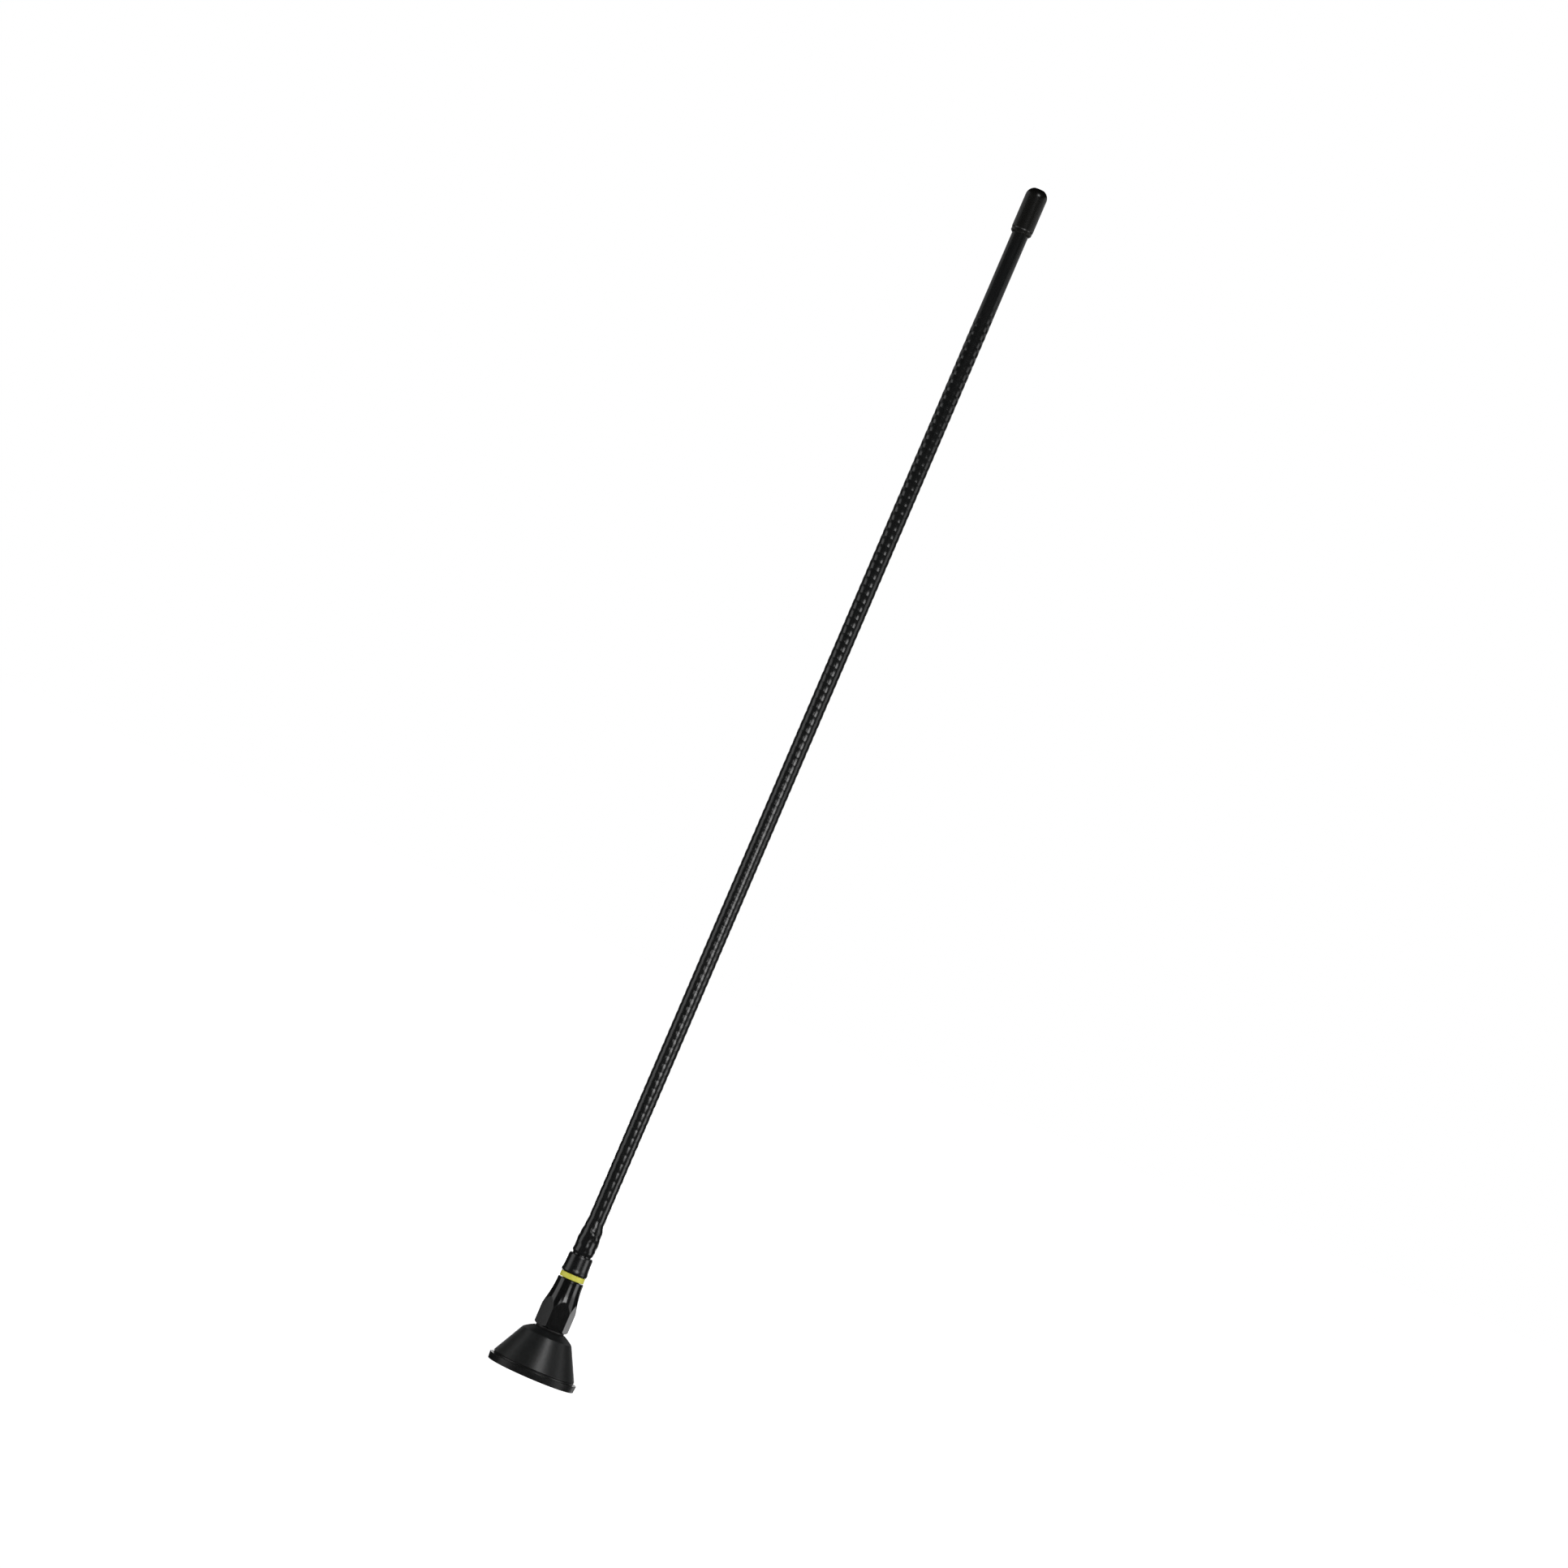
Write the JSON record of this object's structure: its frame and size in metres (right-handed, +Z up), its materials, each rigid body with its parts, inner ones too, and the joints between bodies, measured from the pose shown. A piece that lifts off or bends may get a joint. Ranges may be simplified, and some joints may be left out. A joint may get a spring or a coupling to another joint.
{
  "type": "fiberglass whip antenna",
  "caption": "Wound fiberglass whip antenna with a heat-shrink sleeve, hexagon ferrule and yellow band on a conical moulded base with a coaxial mount.",
  "frame": {"origin": "middle of the underside of the base, on the surface that it is mounted on", "axes": "+Z up along the whip, -Y towards the viewer of the picture, +X to the viewer's right"},
  "size_m": [0.0498, 0.0498, 0.69],
  "materials": {
    "gasket_rubber": "matt black rubber",
    "moulded_black": "satin black moulding",
    "brass": "machined",
    "natural_nylon": "natural nylon",
    "zinc_steel": "bright zinc plate",
    "enamelled_copper": "clear enamel on copper",
    "black_plating": "glossy black plating on brass",
    "yellow_plastic": "coloured through, slightly glossy",
    "fibreglass": "pultruded glass and resin",
    "shrink_tube": "semi-gloss black shrink tube",
    "black_vinyl": "dull black vinyl"
  },
  "bodies": {
    "root": {"base_gasket": "gasket_rubber", "base_housing": "moulded_black", "mounting_ring": "brass", "insulator_disc": "natural_nylon", "contact_pin": "brass", "contact_stud": "brass", "lock_washer": "zinc_steel", "stud_nut": "zinc_steel", "solder_tag": "brass", "feed_wire": "enamelled_copper", "seal_washer": "gasket_rubber", "ferrule": "black_plating", "band_ring": "yellow_plastic", "ferrule_collar": "black_plating", "fibreglass_rod": "fibreglass", "wire_winding": "enamelled_copper", "lead_solder": "zinc_steel", "heat_shrink_sleeve": "shrink_tube", "tip_cap": "black_vinyl"}
  },
  "joints": []
}
